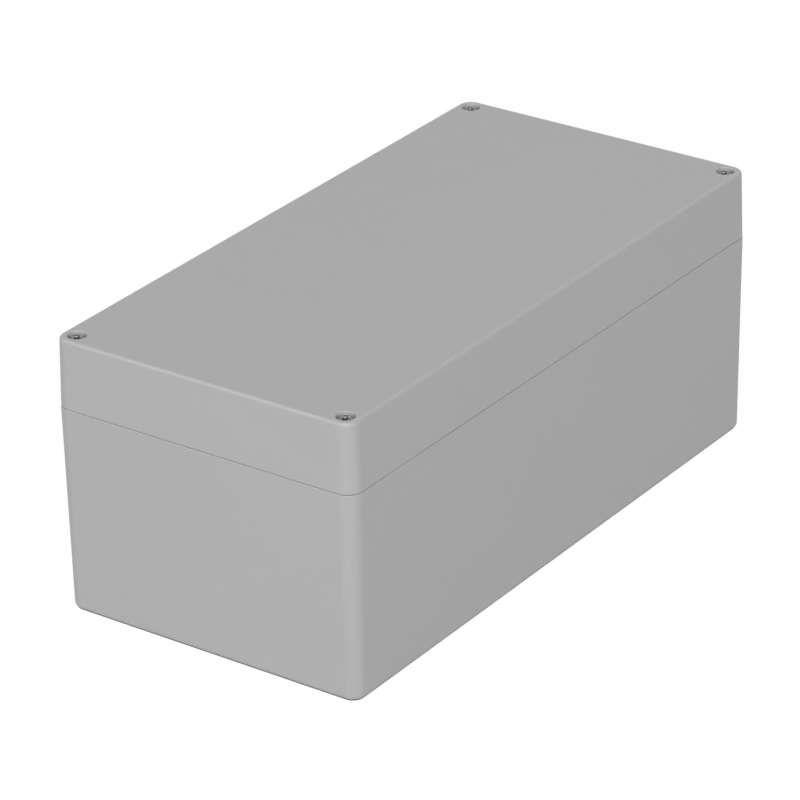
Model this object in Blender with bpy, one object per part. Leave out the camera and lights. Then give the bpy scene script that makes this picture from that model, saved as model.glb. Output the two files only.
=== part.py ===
"""Polycarbonate enclosure, 240 x 120 x 100 mm, with a screwed lid and a seal.

The base is one moulded box. A column stands in each corner, outside the seal line, and
holds a brass bush for the lid screw and a well for a wall screw. The lid is moulded as
well and carries a seal in a groove, which a tongue on the base presses from below. Four
screws stay in the lid: each has a waist with a washer round it that can't leave its bore.

Units are metres, +Z is up and +X runs along the length. The origin is the centre of the
underside, so the joint between base and lid lies at z = BASE_HEIGHT.
"""

import math

import bmesh
import bpy

# Outside of the box. Length and width are those of the base at its upper edge.
LENGTH = 0.240
WIDTH = 0.120
BASE_HEIGHT = 0.075
LID_HEIGHT = 0.025
CORNER_RADIUS = 0.0058
TOP_FILLET = 0.0014
BOTTOM_FILLET = 0.0011
JOINT_EDGE_RADIUS = 0.0006
BASE_DRAFT_DEG = 0.68
LID_DRAFT_DEG = 1.4

# How far the lid stands back from the base all round, and the gap between touching pieces
LID_STEP_BACK = 0.0001
SEAT_GAP = 0.0003

# Walls, and the draft and fillets of the hollows
BASE_WALL = 0.0039
BASE_FLOOR = 0.0035
LID_ROOF = 0.0030
CORE_DRAFT_DEG = 0.80
HOLLOW_FILLET = 0.0018

# Seal: tongue on the base, groove and inner lip in the lid, gasket in between
TONGUE_WIDTH = 0.0015
TONGUE_HEIGHT = 0.0028
TONGUE_TAPER = 0.0002
TONGUE_SETBACK = 0.0003
GROOVE_CLEARANCE = 0.0004
LIP_WIDTH = 0.0012
GASKET_HEIGHT = 0.0019
GASKET_EDGE = 0.0004
SEAL_BEND_OUT = 0.0042
SEAL_BEND_IN = 0.0030

# Lid screws, placed by their distance from the base's long and short sides
SCREW_INSET = 0.0063
SCREW_PITCH = 0.0007
SCREW_TURNS = 12
THREAD_DIAMETER = 0.0038
THREAD_TIP_BEVEL = 0.0006
THREAD_RISE = 0.0010
WAIST_DIAMETER = 0.0028
HEAD_DIAMETER = 0.0058
HEAD_HEIGHT = 0.0024
HEAD_EDGE_RADIUS = 0.0005
HEAD_SUNK = 0.0011
HEAD_CLEARANCE = 0.0005
THREAD_CLEARANCE = 0.0003
TIP_CLEARANCE = 0.0002

# Cross recess in each screw head
RECESS_SPAN = 0.0042
RECESS_WIDTH = 0.0010
RECESS_DEPTH = 0.0016
RECESS_TAPER = 0.45

# Washer that keeps a screw in the lid
WASHER_DIAMETER = 0.0062
WASHER_THICKNESS = 0.0012
WASHER_EDGE = 0.0003

# Brass bushes: four for the lid screws, six in the bosses on the floor
SCREW_BUSH_DIAMETER = 0.0058
SCREW_BUSH_LENGTH = 0.0090
SCREW_BUSH_SINK = 0.0008
BOSS_BUSH_DIAMETER = 0.0052
BOSS_BUSH_LENGTH = 0.0060
BOSS_BUSH_BORE = 0.0033
BUSH_GROOVE_DEPTH = 0.0003
BUSH_GROOVE_SHARE = 0.16
BUSH_EDGE = 0.0003
RELIEF_DEPTH = 0.050

# Wells for the screws that hold the box to a wall, beside each lid screw
WELL_PITCH = 0.0120
WELL_INSET = 0.0070
WELL_DIAMETER = 0.0088
WELL_SEAT_HEIGHT = 0.0055
WALL_SCREW_BORE = 0.0046
WALL_SCREW_BEVEL = 0.0005
COLUMN_WALL = 0.0009

# Hollows that lighten the lid's corners above the wells
POCKET_WALL = 0.0016
POCKET_SIDE_WALL = 0.0030
POCKET_RADIUS = 0.0015

# Bosses: three columns by two rows on the floor, two by two under the lid's roof. The
# insets run from the enclosure's ends and sides to the outer bosses' centres.
FLOOR_BOSS_END_INSET = 0.030
FLOOR_BOSS_SIDE_INSET = 0.025
FLOOR_BOSS_HEIGHT = 0.0080
FLOOR_BOSS_DIAMETER = 0.0088
LID_BOSS_END_INSET = 0.040
LID_BOSS_SIDE_INSET = 0.025
LID_BOSS_HEIGHT = 0.0080
LID_BOSS_DIAMETER = 0.0070
LID_BOSS_BORE = 0.0033
LID_BOSS_BORE_DEPTH = 0.0070
BOSS_FLARE = 0.0006

# How finely round shapes are divided, and how far shapes that are joined sink in
CORNER_STEPS = 6
SEAL_STEPS = 4
FILLET_STEPS = 3
ROUND_STEPS = 20
RING_STEPS = 16
BITE = 0.0005
SMOOTH_BELOW_DEG = 35

# Heights that follow from the sizes above
TOTAL_HEIGHT = BASE_HEIGHT + LID_HEIGHT
LID_BOTTOM = BASE_HEIGHT + SEAT_GAP
ROOF_UNDERSIDE = TOTAL_HEIGHT - LID_ROOF
TONGUE_TOP = BASE_HEIGHT + TONGUE_HEIGHT
GASKET_BOTTOM = TONGUE_TOP + SEAT_GAP
GASKET_TOP = GASKET_BOTTOM + GASKET_HEIGHT
GROOVE_ROOF = GASKET_TOP + SEAT_GAP
FLOOR_BOSS_TOP = BASE_FLOOR + FLOOR_BOSS_HEIGHT
BOSS_BUSH_TOP = FLOOR_BOSS_TOP - SEAT_GAP
BOSS_BUSH_BOTTOM = BOSS_BUSH_TOP - BOSS_BUSH_LENGTH
LID_BOSS_END = ROOF_UNDERSIDE - LID_BOSS_HEIGHT

# Lid screws, washers and bushes along their axes
SCREW_TRAVEL = SCREW_PITCH * SCREW_TURNS
HEAD_TOP = TOTAL_HEIGHT - HEAD_SUNK
HEAD_UNDERSIDE = HEAD_TOP - HEAD_HEIGHT
HEAD_SEAT = HEAD_UNDERSIDE - SEAT_GAP
THREAD_TOP = LID_BOTTOM + THREAD_RISE
SCREW_BUSH_TOP = BASE_HEIGHT - SCREW_BUSH_SINK
SCREW_BUSH_BOTTOM = SCREW_BUSH_TOP - SCREW_BUSH_LENGTH
SCREW_TIP = SCREW_BUSH_TOP + TIP_CLEARANCE - SCREW_TRAVEL
WASHER_BOTTOM = THREAD_TOP + SEAT_GAP
WASHER_TOP = WASHER_BOTTOM + WASHER_THICKNESS
WASHER_STOP = WASHER_TOP + SCREW_TRAVEL + SEAT_GAP
THREAD_BORE_RADIUS = THREAD_DIAMETER / 2 + THREAD_CLEARANCE
WASHER_BORE_RADIUS = WASHER_DIAMETER / 2 + SEAT_GAP
HEAD_BORE_RADIUS = HEAD_DIAMETER / 2 + HEAD_CLEARANCE

# Seal line, measured inwards from the mouth of the base's hollow
TONGUE_INNER = -TONGUE_SETBACK
TONGUE_OUTER = TONGUE_INNER - TONGUE_WIDTH
GROOVE_INNER = TONGUE_INNER + GROOVE_CLEARANCE
GROOVE_OUTER = TONGUE_OUTER - GROOVE_CLEARANCE
LIP_INNER = GROOVE_INNER + LIP_WIDTH

# Places in plan
SCREW_X = LENGTH / 2 - SCREW_INSET
SCREW_Y = WIDTH / 2 - SCREW_INSET
WELL_X = SCREW_X - WELL_PITCH
WELL_Y = WIDTH / 2 - WELL_INSET
MOUTH_HALF_X = LENGTH / 2 - BASE_WALL
MOUTH_HALF_Y = WIDTH / 2 - BASE_WALL
COLUMN_X = WELL_X - WELL_DIAMETER / 2 - COLUMN_WALL
COLUMN_Y = min(SCREW_Y - WASHER_BORE_RADIUS, WELL_Y - WELL_DIAMETER / 2) - COLUMN_WALL
NOTCH_X = COLUMN_X + GROOVE_OUTER
NOTCH_Y = COLUMN_Y + GROOVE_OUTER
FLOOR_BOSS_X = LENGTH / 2 - FLOOR_BOSS_END_INSET
FLOOR_BOSS_Y = WIDTH / 2 - FLOOR_BOSS_SIDE_INSET
LID_BOSS_X = LENGTH / 2 - LID_BOSS_END_INSET
LID_BOSS_Y = WIDTH / 2 - LID_BOSS_SIDE_INSET

QUARTERS = ((1, 1), (-1, 1), (-1, -1), (1, -1))
SCREW_CENTRES = [(sx * SCREW_X, sy * SCREW_Y) for sx, sy in QUARTERS]
WELL_CENTRES = [(sx * WELL_X, sy * WELL_Y) for sx, sy in QUARTERS]
FLOOR_BOSS_CENTRES = [(sx * FLOOR_BOSS_X, sy * FLOOR_BOSS_Y) for sy in (-1, 1) for sx in (-1, 0, 1)]
LID_BOSS_CENTRES = [(sx * LID_BOSS_X, sy * LID_BOSS_Y) for sx, sy in QUARTERS]


def linear(hex_colour):
    """Linear RGB with alpha from an sRGB colour such as "B4B5B4"."""
    channels = [int(hex_colour[i : i + 2], 16) / 255 for i in (0, 2, 4)]
    return [c / 12.92 if c <= 0.04045 else ((c + 0.055) / 1.055) ** 2.4 for c in channels] + [1.0]


def material(name, hex_colour, roughness, metallic=0.0):
    made = bpy.data.materials.new(name)
    made.use_nodes = True
    shader = made.node_tree.nodes["Principled BSDF"]
    shader.inputs["Base Color"].default_value = linear(hex_colour)
    shader.inputs["Roughness"].default_value = roughness
    shader.inputs["Metallic"].default_value = metallic
    return made


def arc(centre_x, centre_y, radius, start_deg, end_deg, steps):
    """Points of an arc, both ends included."""
    angles = [math.radians(start_deg + (end_deg - start_deg) * i / steps) for i in range(steps + 1)]
    return [(centre_x + radius * math.cos(a), centre_y + radius * math.sin(a)) for a in angles]


def all_quarters(quarter):
    """A closed outline from its stretch in the first quarter, run from the X side to the Y side."""
    backwards = quarter[::-1]
    return (
        quarter
        + [(-x, y) for x, y in backwards]
        + [(-x, -y) for x, y in quarter]
        + [(x, -y) for x, y in backwards]
    )


def rounded_rectangle(half_x, half_y, radius, steps=CORNER_STEPS):
    return all_quarters(arc(half_x - radius, half_y - radius, radius, 0, 90, steps))


def seal_outline(inset):
    """The seal line moved inwards by inset: it runs along the walls and steps in round each column."""
    half_x = MOUTH_HALF_X - inset
    half_y = MOUTH_HALF_Y - inset
    notch_x = NOTCH_X - inset
    notch_y = NOTCH_Y - inset
    outward = SEAL_BEND_OUT - inset
    inward = SEAL_BEND_IN + inset
    return all_quarters(
        arc(half_x - outward, notch_y - outward, outward, 0, 90, SEAL_STEPS)
        + arc(notch_x + inward, notch_y + inward, inward, 270, 180, SEAL_STEPS)
        + arc(notch_x - outward, half_y - outward, outward, 0, 90, SEAL_STEPS)
    )


def circle(radius, centre, steps):
    return arc(centre[0], centre[1], radius, 0, 360 - 360 / steps, steps - 1)


def cross(span, width):
    """Outline of a plus sign."""
    arm, side = span / 2, width / 2
    return all_quarters([(arm, side), (side, side), (side, arm)])


def at_height(outline, z):
    return [(x, y, z) for x, y in outline]


def add_loft(bm, rings, closed=False):
    """Skins a row of rings of as many points each, with a cap at both ends or closed into a loop."""
    rows = [[bm.verts.new(point) for point in ring] for ring in rings]
    following = rows[1:] + rows[:1] if closed else rows[1:]
    for lower, upper in zip(rows, following):
        for i, corner in enumerate(lower):
            before = i - 1
            bm.faces.new((lower[before], corner, upper[i], upper[before]))
    if not closed:
        bm.faces.new(rows[0])
        bm.faces.new(rows[-1])


def add_turned(bm, profile, centre=(0.0, 0.0), steps=ROUND_STEPS, closed=False):
    """A turned shape from its profile of (radius, height) points."""
    add_loft(bm, [at_height(circle(radius, centre, steps), z) for radius, z in profile], closed)


def make_object(name, bm, finish=None, location=(0.0, 0.0, 0.0)):
    bmesh.ops.recalc_face_normals(bm, faces=bm.faces)
    mesh = bpy.data.meshes.new(name)
    bm.to_mesh(mesh)
    bm.free()
    mesh.shade_smooth()
    mesh.set_sharp_from_angle(angle=math.radians(SMOOTH_BELOW_DEG))
    if finish:
        mesh.materials.append(finish)
    return place(name, mesh, location)


def place(name, mesh, location=(0.0, 0.0, 0.0)):
    made = bpy.data.objects.new(name, mesh)
    made.location = location
    bpy.context.scene.collection.objects.link(made)
    return made


def as_tool(tool):
    """Marks an object as one that only cuts or joins others."""
    tool.hide_render = True
    tool.display_type = "WIRE"
    return tool


def boolean(target, tool, operation):
    modifier = target.modifiers.new(tool.name, "BOOLEAN")
    modifier.operation = operation
    modifier.solver = "EXACT"
    modifier.object = as_tool(tool)


def sharp_edges_group():
    """Geometry nodes that leave sharp each edge that bends by more than SMOOTH_BELOW_DEG."""
    group = bpy.data.node_groups.new("sharp_edges", "GeometryNodeTree")
    for side in ("INPUT", "OUTPUT"):
        group.interface.new_socket("Geometry", in_out=side, socket_type="NodeSocketGeometry")
    shape = group.nodes.new("NodeGroupInput")
    bend = group.nodes.new("GeometryNodeInputMeshEdgeAngle")
    is_steep = group.nodes.new("ShaderNodeMath")
    is_steep.operation = "GREATER_THAN"
    is_steep.inputs[1].default_value = math.radians(SMOOTH_BELOW_DEG)
    shade = group.nodes.new("GeometryNodeSetShadeSmooth")
    shade.domain = "EDGE"
    shade.inputs["Shade Smooth"].default_value = False
    result = group.nodes.new("NodeGroupOutput")
    group.links.new(shape.outputs[0], shade.inputs["Geometry"])
    group.links.new(bend.outputs["Unsigned Angle"], is_steep.inputs[0])
    group.links.new(is_steep.outputs[0], shade.inputs["Selection"])
    group.links.new(shade.outputs[0], result.inputs[0])
    return group


def keep_sharp(obj, shading):
    """Gives an object crisp edges where its Booleans have cut it."""
    obj.modifiers.new(shading.name, "NODES").node_group = shading


def loft_tool(name, rings):
    bm = bmesh.new()
    add_loft(bm, rings)
    return make_object(name, bm)


def turned_tool(name, profile, centres):
    bm = bmesh.new()
    for centre in centres:
        add_turned(bm, profile, centre)
    return make_object(name, bm)


def draft(height, degrees):
    """How far a drafted wall leans in over a height."""
    return height * math.tan(math.radians(degrees))


def rounded_edge(wall, end, radius, inwards):
    """Profile points (inset, height) that round the edge from a wall to an end face.

    inwards is +1 for an end face above the wall and -1 for one below.
    """
    points = []
    for i in range(FILLET_STEPS + 1):
        angle = math.radians(90 * i / FILLET_STEPS)
        from_wall = radius * (1 - math.cos(angle))
        from_end = radius * (1 - math.sin(angle))
        points.append((wall + from_wall, end - inwards * from_end))
    return points


def outside_rings(profile):
    """Rings of the outside of a shell, from a profile of (inset, height) points."""
    return [
        at_height(rounded_rectangle(LENGTH / 2 - inset, WIDTH / 2 - inset, CORNER_RADIUS - inset), z)
        for inset, z in profile
    ]


def seal_rings(profile):
    return [at_height(seal_outline(inset), z) for inset, z in profile]


def base_outside():
    """The drafted outside of the base: rounded underside, leaning walls, broken edge at the joint."""
    foot = draft(BASE_HEIGHT, BASE_DRAFT_DEG)
    profile = rounded_edge(foot, 0.0, BOTTOM_FILLET, -1)[::-1]
    profile += rounded_edge(0.0, BASE_HEIGHT, JOINT_EDGE_RADIUS, 1)
    bm = bmesh.new()
    add_loft(bm, outside_rings(profile))
    return bm


def base_tongue():
    """The ridge round the mouth that presses the gasket, a little narrower at its top."""
    bm = bmesh.new()
    corners = (
        (TONGUE_OUTER, BASE_HEIGHT - BITE),
        (TONGUE_OUTER + TONGUE_TAPER, TONGUE_TOP),
        (TONGUE_INNER - TONGUE_TAPER, TONGUE_TOP),
        (TONGUE_INNER, BASE_HEIGHT - BITE),
    )
    add_loft(bm, seal_rings(corners), closed=True)
    return make_object("tongue", bm)


def base_hollow():
    """The inside of the base: the seal line drawn down to the floor with draft and a fillet."""
    depth = BASE_HEIGHT - BASE_FLOOR
    foot = draft(depth, CORE_DRAFT_DEG)
    profile = rounded_edge(foot, BASE_FLOOR, HOLLOW_FILLET, -1)[::-1]
    profile.append((0.0, BASE_HEIGHT + BITE))
    return loft_tool("base_hollow", seal_rings(profile))


def floor_bosses():
    profile = (
        (FLOOR_BOSS_DIAMETER / 2 + BOSS_FLARE + BITE, BASE_FLOOR - BITE),
        (FLOOR_BOSS_DIAMETER / 2 + BOSS_FLARE, BASE_FLOOR + BITE),
        (FLOOR_BOSS_DIAMETER / 2, FLOOR_BOSS_TOP),
    )
    return turned_tool("floor_bosses", profile, FLOOR_BOSS_CENTRES)


def floor_boss_bores():
    radius = BOSS_BUSH_DIAMETER / 2 + SEAT_GAP
    profile = ((radius, BOSS_BUSH_BOTTOM - SEAT_GAP), (radius, FLOOR_BOSS_TOP + BITE))
    return turned_tool("floor_boss_bores", profile, FLOOR_BOSS_CENTRES)


def column_bores():
    """Seats of the screw bushes, each with a narrower relief below it that cores out the column."""
    seat = SCREW_BUSH_DIAMETER / 2 + SEAT_GAP
    shoulder = SCREW_BUSH_BOTTOM - SEAT_GAP
    profile = (
        (THREAD_BORE_RADIUS, BASE_HEIGHT - RELIEF_DEPTH),
        (THREAD_BORE_RADIUS, shoulder),
        (seat, shoulder),
        (seat, BASE_HEIGHT + BITE),
    )
    return turned_tool("column_bores", profile, SCREW_CENTRES)


def wall_screw_wells():
    """Wells down to the seats of the wall screws, and the bores through the floor."""
    bore = WALL_SCREW_BORE / 2
    well = WELL_DIAMETER / 2
    profile = (
        (bore + WALL_SCREW_BEVEL + BITE, -BITE),
        (bore, WALL_SCREW_BEVEL),
        (bore, WELL_SEAT_HEIGHT),
        (well, WELL_SEAT_HEIGHT),
        (well, BASE_HEIGHT + BITE),
    )
    return turned_tool("wall_screw_wells", profile, WELL_CENTRES)


def make_base(finish):
    base = make_object("base", base_outside(), finish)
    boolean(base, base_tongue(), "UNION")
    boolean(base, base_hollow(), "DIFFERENCE")
    boolean(base, floor_bosses(), "UNION")
    boolean(base, floor_boss_bores(), "DIFFERENCE")
    boolean(base, column_bores(), "DIFFERENCE")
    boolean(base, wall_screw_wells(), "DIFFERENCE")
    return base


def lid_outside():
    """The drafted outside of the lid, with its rounded top edge and the broken edge at the joint."""
    top = LID_STEP_BACK + draft(LID_HEIGHT, LID_DRAFT_DEG)
    profile = rounded_edge(LID_STEP_BACK, LID_BOTTOM, JOINT_EDGE_RADIUS, -1)[::-1]
    profile += rounded_edge(top, TOTAL_HEIGHT, TOP_FILLET, 1)
    bm = bmesh.new()
    add_loft(bm, outside_rings(profile))
    return bm


def lid_hollow():
    """The inside of the lid, which starts at the seal's inner lip."""
    top = LIP_INNER + draft(ROOF_UNDERSIDE - LID_BOTTOM, CORE_DRAFT_DEG)
    profile = [(LIP_INNER, LID_BOTTOM - BITE)]
    profile += rounded_edge(top, ROOF_UNDERSIDE, HOLLOW_FILLET, 1)
    return loft_tool("lid_hollow", seal_rings(profile))


def gasket_groove():
    bm = bmesh.new()
    corners = (
        (GROOVE_OUTER, LID_BOTTOM - BITE),
        (GROOVE_OUTER, GROOVE_ROOF),
        (GROOVE_INNER, GROOVE_ROOF),
        (GROOVE_INNER, LID_BOTTOM - BITE),
    )
    add_loft(bm, seal_rings(corners), closed=True)
    return make_object("gasket_groove", bm)


def lid_screw_bores():
    """Each bore from below: room for the washer to rise, a neck for the thread, a seat for the head."""
    profile = (
        (WASHER_BORE_RADIUS, LID_BOTTOM - BITE),
        (WASHER_BORE_RADIUS, WASHER_STOP),
        (THREAD_BORE_RADIUS, WASHER_STOP),
        (THREAD_BORE_RADIUS, HEAD_SEAT),
        (HEAD_BORE_RADIUS, HEAD_SEAT),
        (HEAD_BORE_RADIUS, TOTAL_HEIGHT + BITE),
    )
    return turned_tool("lid_screw_bores", profile, SCREW_CENTRES)


def corner_pockets():
    """Blind hollows above the wells, so that the lid's corners aren't thick lumps."""
    near_x = COLUMN_X + POCKET_WALL
    far_x = SCREW_X - WASHER_BORE_RADIUS - POCKET_WALL
    near_y = COLUMN_Y + POCKET_WALL
    far_y = WIDTH / 2 - POCKET_SIDE_WALL
    lean = draft(ROOF_UNDERSIDE - LID_BOTTOM, CORE_DRAFT_DEG)
    bm = bmesh.new()
    for sx, sy in QUARTERS:
        centre_x = sx * (near_x + far_x) / 2
        centre_y = sy * (near_y + far_y) / 2
        rings = []
        for inset, z in ((0.0, LID_BOTTOM - BITE), (lean, ROOF_UNDERSIDE)):
            half_x = (far_x - near_x) / 2 - inset
            half_y = (far_y - near_y) / 2 - inset
            outline = rounded_rectangle(half_x, half_y, POCKET_RADIUS - inset, SEAL_STEPS)
            rings.append([(centre_x + x, centre_y + y, z) for x, y in outline])
        add_loft(bm, rings)
    return make_object("corner_pockets", bm)


def lid_bosses():
    profile = (
        (LID_BOSS_DIAMETER / 2, LID_BOSS_END),
        (LID_BOSS_DIAMETER / 2 + BOSS_FLARE, ROOF_UNDERSIDE - BITE),
        (LID_BOSS_DIAMETER / 2 + BOSS_FLARE + BITE, ROOF_UNDERSIDE + BITE),
    )
    return turned_tool("lid_bosses", profile, LID_BOSS_CENTRES)


def lid_boss_bores():
    radius = LID_BOSS_BORE / 2
    profile = ((radius, LID_BOSS_END - BITE), (radius, LID_BOSS_END + LID_BOSS_BORE_DEPTH))
    return turned_tool("lid_boss_bores", profile, LID_BOSS_CENTRES)


def make_lid(finish):
    lid = make_object("lid", lid_outside(), finish)
    boolean(lid, lid_hollow(), "DIFFERENCE")
    boolean(lid, gasket_groove(), "DIFFERENCE")
    boolean(lid, corner_pockets(), "DIFFERENCE")
    boolean(lid, lid_bosses(), "UNION")
    boolean(lid, lid_boss_bores(), "DIFFERENCE")
    boolean(lid, lid_screw_bores(), "DIFFERENCE")
    return lid


def make_gasket(finish):
    """A moulded rubber loop with bevelled edges that fills the groove above the tongue."""
    outer = GROOVE_OUTER + SEAT_GAP
    inner = GROOVE_INNER - SEAT_GAP
    corners = (
        (outer, GASKET_BOTTOM + GASKET_EDGE),
        (outer, GASKET_TOP - GASKET_EDGE),
        (outer + GASKET_EDGE, GASKET_TOP),
        (inner - GASKET_EDGE, GASKET_TOP),
        (inner, GASKET_TOP - GASKET_EDGE),
        (inner, GASKET_BOTTOM + GASKET_EDGE),
        (inner - GASKET_EDGE, GASKET_BOTTOM),
        (outer + GASKET_EDGE, GASKET_BOTTOM),
    )
    bm = bmesh.new()
    add_loft(bm, seal_rings(corners), closed=True)
    return make_object("gasket", bm, finish)


def screw_profile():
    """A screw from its tip: bevelled thread, narrow waist, head with a rounded edge."""
    thread = THREAD_DIAMETER / 2
    waist = WAIST_DIAMETER / 2
    head = HEAD_DIAMETER / 2
    profile = [
        (thread - THREAD_TIP_BEVEL, SCREW_TIP),
        (thread, SCREW_TIP + THREAD_TIP_BEVEL),
        (thread, THREAD_TOP),
        (waist, THREAD_TOP),
        (waist, HEAD_UNDERSIDE),
    ]
    profile.append((head, HEAD_UNDERSIDE))
    for i in range(FILLET_STEPS + 1):
        angle = math.radians(90 * i / FILLET_STEPS)
        inset = HEAD_EDGE_RADIUS * (1 - math.cos(angle))
        drop = HEAD_EDGE_RADIUS * (1 - math.sin(angle))
        profile.append((head - inset, HEAD_TOP - drop))
    return profile


def recess_mesh():
    """The cross recess that a screw head is cut with, narrower at its bottom."""
    slope = (1 - RECESS_TAPER) / RECESS_DEPTH
    shares = ((RECESS_TAPER, HEAD_TOP - RECESS_DEPTH), (1 + slope * BITE, HEAD_TOP + BITE))
    bm = bmesh.new()
    add_loft(bm, [at_height(cross(RECESS_SPAN * share, RECESS_WIDTH * share), z) for share, z in shares])
    return bm


def make_screws(finish):
    """Four screws, each turning about its own axis, on which its object stands."""
    body = bmesh.new()
    add_turned(body, screw_profile())
    screws = [make_object("lid_screw_1", body, finish, (*SCREW_CENTRES[0], 0.0))]
    recesses = [make_object("recess_1", recess_mesh(), None, (*SCREW_CENTRES[0], 0.0))]
    for number, centre in enumerate(SCREW_CENTRES[1:], 2):
        screws.append(place(f"lid_screw_{number}", screws[0].data, (*centre, 0.0)))
        recesses.append(place(f"recess_{number}", recesses[0].data, (*centre, 0.0)))
    for screw, recess in zip(screws, recesses):
        boolean(screw, recess, "DIFFERENCE")
    return screws


def ring_profile(inner, outer, bottom, top, edge):
    """Closed profile of a flat ring with bevelled outer edges."""
    return (
        (inner, bottom),
        (outer - edge, bottom),
        (outer, bottom + edge),
        (outer, top - edge),
        (outer - edge, top),
        (inner, top),
    )


def make_ring_set(name, profile, centres, finish):
    """Equal turned rings, one object each, named name_1 and so on, each standing on its own axis."""
    bm = bmesh.new()
    add_turned(bm, profile, steps=RING_STEPS, closed=True)
    first = make_object(f"{name}_1", bm, finish, (*centres[0], 0.0))
    for number, centre in enumerate(centres[1:], 2):
        place(f"{name}_{number}", first.data, (*centre, 0.0))


def bush_profile(bore, outer, bottom, top):
    """Closed profile of a bush: two gripping bands with a groove between them, and bevelled ends."""
    groove_half = (top - bottom) * BUSH_GROOVE_SHARE / 2
    middle = (top + bottom) / 2
    return (
        (bore, bottom),
        (outer - BUSH_EDGE, bottom),
        (outer, bottom + BUSH_EDGE),
        (outer, middle - groove_half),
        (outer - BUSH_GROOVE_DEPTH, middle - groove_half),
        (outer - BUSH_GROOVE_DEPTH, middle + groove_half),
        (outer, middle + groove_half),
        (outer, top - BUSH_EDGE),
        (outer - BUSH_EDGE, top),
        (bore, top),
    )


def clear_scene():
    for old in list(bpy.data.objects):
        bpy.data.objects.remove(old)


def main():
    clear_scene()
    polycarbonate = material("polycarbonate_light_grey", "B2B3B2", 0.48)
    silicone = material("silicone_rubber", "4A4B4C", 0.75)
    steel = material("stainless_steel", "B9BABA", 0.32, 1.0)
    nylon = material("nylon_natural", "DAD8CC", 0.45)
    brass = material("brass", "C2A15A", 0.30, 1.0)

    shading = sharp_edges_group()

    keep_sharp(make_base(polycarbonate), shading)
    keep_sharp(make_lid(polycarbonate), shading)
    make_gasket(silicone)
    for screw in make_screws(steel):
        keep_sharp(screw, shading)

    washer_bore = WAIST_DIAMETER / 2 + SEAT_GAP
    washer = ring_profile(washer_bore, WASHER_DIAMETER / 2, WASHER_BOTTOM, WASHER_TOP, WASHER_EDGE)
    make_ring_set("screw_washer", washer, SCREW_CENTRES, nylon)

    screw_bush_radius = SCREW_BUSH_DIAMETER / 2
    screw_bush = bush_profile(THREAD_BORE_RADIUS, screw_bush_radius, SCREW_BUSH_BOTTOM, SCREW_BUSH_TOP)
    make_ring_set("lid_screw_bush", screw_bush, SCREW_CENTRES, brass)

    boss_bush_radius = BOSS_BUSH_DIAMETER / 2
    boss_bush = bush_profile(BOSS_BUSH_BORE / 2, boss_bush_radius, BOSS_BUSH_BOTTOM, BOSS_BUSH_TOP)
    make_ring_set("boss_bush", boss_bush, FLOOR_BOSS_CENTRES, brass)


main()
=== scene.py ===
import math

import bmesh
import bpy
from mathutils import Matrix, Vector


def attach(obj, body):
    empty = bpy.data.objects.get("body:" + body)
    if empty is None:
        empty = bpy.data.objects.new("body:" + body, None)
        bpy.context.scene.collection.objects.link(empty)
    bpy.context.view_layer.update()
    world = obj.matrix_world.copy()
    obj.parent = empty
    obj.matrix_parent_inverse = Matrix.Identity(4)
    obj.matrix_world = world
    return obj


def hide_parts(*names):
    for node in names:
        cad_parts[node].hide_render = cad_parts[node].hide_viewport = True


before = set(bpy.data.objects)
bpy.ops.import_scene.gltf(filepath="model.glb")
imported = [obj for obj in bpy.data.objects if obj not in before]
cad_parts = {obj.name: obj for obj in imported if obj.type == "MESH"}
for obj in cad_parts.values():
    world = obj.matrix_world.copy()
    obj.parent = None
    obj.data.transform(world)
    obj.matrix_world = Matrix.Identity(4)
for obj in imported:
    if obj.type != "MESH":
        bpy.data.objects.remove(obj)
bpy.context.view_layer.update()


# The base. It is one injection moulding in light grey polycarbonate. Its walls lean in so
# that it leaves the mould, a tongue runs round the mouth, a column stands in each corner
# outside the seal line, and six bosses stand on the floor. Sizes are in millimetres.
LENGTH = 240.0
WIDTH = 120.0
BASE_TOP = 75.0
CORNER = 5.8
BASE_LEAN = math.tan(math.radians(0.68))
CORE_LEAN = math.tan(math.radians(0.80))
FOOT_RADIUS = 1.9
BASE_EDGE_RADIUS = 0.3
FLOOR = 3.5
INNER_RADIUS = 1.8
MOUTH = (116.1, 56.1)
NOTCH = (94.2, 45.5)
BEND_OUT = 4.2
BEND_IN = 3.0
QUARTERS = ((1, 1), (-1, 1), (-1, -1), (1, -1))
SCREWS = [(113.7 * sx, 53.7 * sy) for sx, sy in QUARTERS]
WELLS = [(101.7 * sx, 53.0 * sy) for sx, sy in QUARTERS]
BOSSES = [(90.0 * sx, 35.0 * sy) for sy in (-1, 1) for sx in (-1, 0, 1)]
BOSS_TOP = 11.5
BOSS_RADIUS = 4.4
BOSS_BORE = 2.9
BOSS_BORE_END = 5.0
RELIEF_BORE = 2.2
RELIEF_END = 25.0
BUSH_BORE = 3.2
BUSH_SEAT = 64.9
WALL_SCREW_BORE = 2.3
WELL_RADIUS = 4.4
WELL_SEAT = 5.5
TONGUE_TOP = 77.8
SEAL_MIDDLE = -1.05
PIN_RADIUS = 3.0
MARK_DEPTH = 0.15
GATE_DISH = 5.0
PAST = 0.5


def arc(centre, radius, start, end, steps):
    angles = [math.radians(start + (end - start) * i / steps) for i in range(steps + 1)]
    return [(centre[0] + radius * math.cos(a), centre[1] + radius * math.sin(a)) for a in angles]


def four_quarters(quarter):
    """A closed outline from its stretch between +X and +Y."""
    back = quarter[::-1]
    return (
        quarter
        + [(-x, y) for x, y in back]
        + [(-x, -y) for x, y in quarter]
        + [(x, -y) for x, y in back]
    )


def box_line(half_x, half_y, radius, steps=20):
    return four_quarters(arc((half_x - radius, half_y - radius), radius, 0, 90, steps))


def outer_line(inset):
    return box_line(LENGTH / 2 - inset, WIDTH / 2 - inset, CORNER - inset)


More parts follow.
